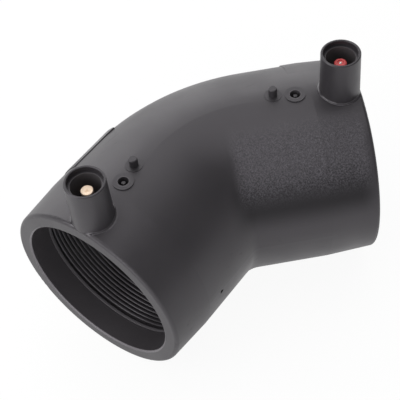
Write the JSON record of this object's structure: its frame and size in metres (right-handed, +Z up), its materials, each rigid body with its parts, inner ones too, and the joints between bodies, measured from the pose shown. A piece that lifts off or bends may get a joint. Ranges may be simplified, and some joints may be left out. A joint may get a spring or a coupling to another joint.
{
  "type": "electrofusion pipe elbow",
  "caption": "Black plastic 45 degree pipe elbow with a socket at each end and two upright shrouded terminals that heat wires in the sockets to weld the pipes in.",
  "frame": {"origin": "under the middle of the fitting, at the level of its lowest point when it lies with both arms level and the terminals up", "axes": "+Z up along the terminals, +X from the plain terminal's arm to the coded terminal's arm, +Y towards the outside of the bend"},
  "size_m": [0.1478, 0.0939, 0.0956],
  "materials": {
    "body": "moulded black polyethylene, satin",
    "coil": "black polyethylene moulded over wound wire, satin",
    "pins": "turned brass, dull at the tip",
    "code": "red insulating plastic",
    "contact": "tinned end",
    "resistor": "ceramic resistor body, hidden",
    "indicator": "black polyethylene, a little paler than the body"
  },
  "bodies": {
    "root": {"elbow_body": "body", "heating_coil": "coil", "terminal_pin_left": "pins", "contact_sleeve_right": "pins", "code_collar": "code", "code_contact": "contact", "code_resistor": "resistor", "indicator_pin_left": "indicator", "indicator_pin_right": "indicator"}
  },
  "joints": []
}
